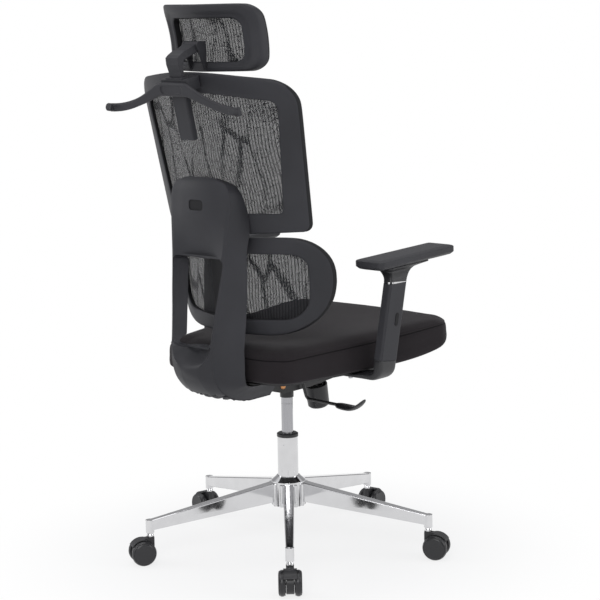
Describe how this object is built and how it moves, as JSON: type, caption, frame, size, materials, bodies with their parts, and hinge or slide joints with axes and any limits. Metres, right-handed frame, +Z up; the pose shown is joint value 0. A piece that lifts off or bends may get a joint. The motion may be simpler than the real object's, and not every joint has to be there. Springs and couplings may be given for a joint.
{
  "type": "swivel office chair",
  "caption": "High-backed mesh swivel chair: moulded spine, lumbar panel, headrest, coat hanger, lifting arms, chromed star base on twin-wheel casters",
  "frame": {"origin": "on the floor, on the swivel axis at the middle of the five-leg base", "axes": "+Z up along the swivel axis; the sitter faces -Y and the sitter's right is -X"},
  "size_m": [0.769, 0.7754, 1.3201],
  "materials": {
    "chromed_alloy": "die-cast alloy, bright chrome plated",
    "chrome": "polished chrome plate",
    "satin_steel": "satin ground",
    "zinc_steel": "zinc plated",
    "black_steel": "black powder coat",
    "brass": "yellow passivated",
    "black_plastic": "moulded nylon, fine grain",
    "grey_plastic": "moulded glass-filled nylon, matte charcoal",
    "wheel_plastic": "moulded nylon",
    "soft_pad": "soft polyurethane skin",
    "seat_fabric": "woven polyester over foam",
    "mesh_fabric": "stretched knitted mesh"
  },
  "bodies": {
    "base": {"base_star": "chromed_alloy", "lift_tube": "chrome", "lift_collar": "black_plastic", "thrust_bearing": "zinc_steel"},
    "rod": {"lift_rod": "zinc_steel"},
    "seat": {"lift_cylinder": "satin_steel", "mech_housing": "black_steel", "back_pivot": "brass", "tension_bolt": "zinc_steel", "tension_spring": "black_steel", "seat_pan": "black_plastic", "seat_cushion": "seat_fabric", "mount_bolts": "zinc_steel", "right_arm_bracket": "black_plastic", "right_arm_post": "zinc_steel", "left_arm_bracket": "black_plastic", "left_arm_post": "zinc_steel"},
    "release": {"release_pin": "zinc_steel"},
    "lever": {"lever_rod": "black_steel", "lever_handle": "black_plastic"},
    "knob": {"tension_knob": "black_plastic"},
    "back": {"recline_bracket": "black_steel", "spine": "grey_plastic", "back_carrier": "black_plastic", "back_frame": "grey_plastic", "back_mesh": "mesh_fabric", "lumbar_frame": "grey_plastic", "lumbar_mesh": "mesh_fabric", "back_screws": "zinc_steel", "headrest_socket": "grey_plastic", "coat_hanger": "grey_plastic"},
    "headrest_stem": {"headrest_post": "grey_plastic"},
    "headrest": {"headrest_hinge": "grey_plastic", "headrest_frame": "grey_plastic", "headrest_mesh": "mesh_fabric"},
    "right_arm": {"right_arm_sleeve": "grey_plastic", "right_arm_ring": "chrome", "right_arm_neck": "black_plastic", "right_arm_pad": "soft_pad"},
    "right_button": {"right_arm_button": "black_plastic"},
    "left_arm": {"left_arm_sleeve": "grey_plastic", "left_arm_ring": "chrome", "left_arm_neck": "black_plastic", "left_arm_pad": "soft_pad"},
    "left_button": {"left_arm_button": "black_plastic"},
    "caster_1": {"caster_1_stem": "chrome", "caster_1_hood": "black_plastic"},
    "wheels_1": {"caster_1_wheels": "wheel_plastic"},
    "caster_2": {"caster_2_stem": "chrome", "caster_2_hood": "black_plastic"},
    "wheels_2": {"caster_2_wheels": "wheel_plastic"},
    "caster_3": {"caster_3_stem": "chrome", "caster_3_hood": "black_plastic"},
    "wheels_3": {"caster_3_wheels": "wheel_plastic"},
    "caster_4": {"caster_4_stem": "chrome", "caster_4_hood": "black_plastic"},
    "wheels_4": {"caster_4_wheels": "wheel_plastic"},
    "caster_5": {"caster_5_stem": "chrome", "caster_5_hood": "black_plastic"},
    "wheels_5": {"caster_5_wheels": "wheel_plastic"}
  },
  "joints": [
    {"name": "swivel", "type": "hinge", "parent": "base", "child": "rod", "pos_m": [0, 0, 0], "axis": [0, 0, 1], "continuous": true},
    {"name": "seat_height", "type": "slide", "parent": "rod", "child": "seat", "axis": [0, 0, 1], "range_m": [-0.085, 0]},
    {"name": "lever_lift", "type": "hinge", "parent": "seat", "child": "lever", "pos_m": [-0.0445, 0.007, 0.4313], "axis": [0, 1, 0], "range_deg": [0, 3.8], "stiffness_Nm_per_rad": 8, "springref_deg": -3.44},
    {"name": "release_push", "type": "slide", "parent": "seat", "child": "release", "axis": [0, 0, -1], "range_m": [0, 0.0035]},
    {"name": "tension_turn", "type": "hinge", "parent": "seat", "child": "knob", "pos_m": [0, -0.103, 0.408], "axis": [0, -0.2079, -0.9781], "continuous": true},
    {"name": "recline", "type": "hinge", "parent": "seat", "child": "back", "pos_m": [0, 0.068, 0.422], "axis": [-1, 0, 0], "range_deg": [0, 10], "stiffness_Nm_per_rad": 90, "springref_deg": -25.78},
    {"name": "headrest_height", "type": "slide", "parent": "back", "child": "headrest_stem", "axis": [0, 0.2288, 0.9735], "range_m": [0, 0.05]},
    {"name": "headrest_tilt", "type": "hinge", "parent": "headrest_stem", "child": "headrest", "pos_m": [0, 0.292, 1.2283], "axis": [1, 0, 0], "range_deg": [-15, 20]},
    {"name": "right_arm_height", "type": "slide", "parent": "seat", "child": "right_arm", "axis": [-0.081, -0.1132, 0.9903], "range_m": [0, 0.07]},
    {"name": "right_button_press", "type": "slide", "parent": "right_arm", "child": "right_button", "axis": [0.9966, 0, 0.082], "range_m": [0, 0.0015], "stiffness_N_per_m": 500},
    {"name": "left_arm_height", "type": "slide", "parent": "seat", "child": "left_arm", "axis": [0.081, -0.1132, 0.9903], "range_m": [0, 0.07]},
    {"name": "left_button_press", "type": "slide", "parent": "left_arm", "child": "left_button", "axis": [-0.9966, 0, 0.082], "range_m": [0, 0.0015], "stiffness_N_per_m": 500},
    {"name": "caster_1_swivel", "type": "hinge", "parent": "base", "child": "caster_1", "pos_m": [-0.2342, 0.2601, 0.076], "axis": [0, 0, 1], "continuous": true},
    {"name": "caster_1_roll", "type": "hinge", "parent": "caster_1", "child": "wheels_1", "pos_m": [-0.24758, 0.27496, 0.03], "axis": [-0.7431, -0.6691, 0], "continuous": true},
    {"name": "caster_2_swivel", "type": "hinge", "parent": "base", "child": "caster_2", "pos_m": [-0.31974, -0.14236, 0.076], "axis": [0, 0, 1], "continuous": true},
    {"name": "caster_2_roll", "type": "hinge", "parent": "caster_2", "child": "wheels_2", "pos_m": [-0.33801, -0.15049, 0.03], "axis": [0.4067, -0.9135, 0], "continuous": true},
    {"name": "caster_3_swivel", "type": "hinge", "parent": "base", "child": "caster_3", "pos_m": [0.03658, -0.34808, 0.076], "axis": [0, 0, 1], "continuous": true},
    {"name": "caster_3_roll", "type": "hinge", "parent": "caster_3", "child": "wheels_3", "pos_m": [0.03868, -0.36797, 0.03], "axis": [0.9945, 0.1045, 0], "continuous": true},
    {"name": "caster_4_swivel", "type": "hinge", "parent": "base", "child": "caster_4", "pos_m": [0.34235, -0.07277, 0.076], "axis": [0, 0, 1], "continuous": true},
    {"name": "caster_4_roll", "type": "hinge", "parent": "caster_4", "child": "wheels_4", "pos_m": [0.36191, -0.07693, 0.03], "axis": [0.2079, 0.9781, 0], "continuous": true},
    {"name": "caster_5_swivel", "type": "hinge", "parent": "base", "child": "caster_5", "pos_m": [0.175, 0.30311, 0.076], "axis": [0, 0, 1], "continuous": true},
    {"name": "caster_5_roll", "type": "hinge", "parent": "caster_5", "child": "wheels_5", "pos_m": [0.185, 0.32043, 0.03], "axis": [-0.866, 0.5, 0], "continuous": true}
  ],
  "couplings": [
    {"joint": "release_push", "follows": "lever_lift", "m_per_rad": 0.0445}
  ]
}
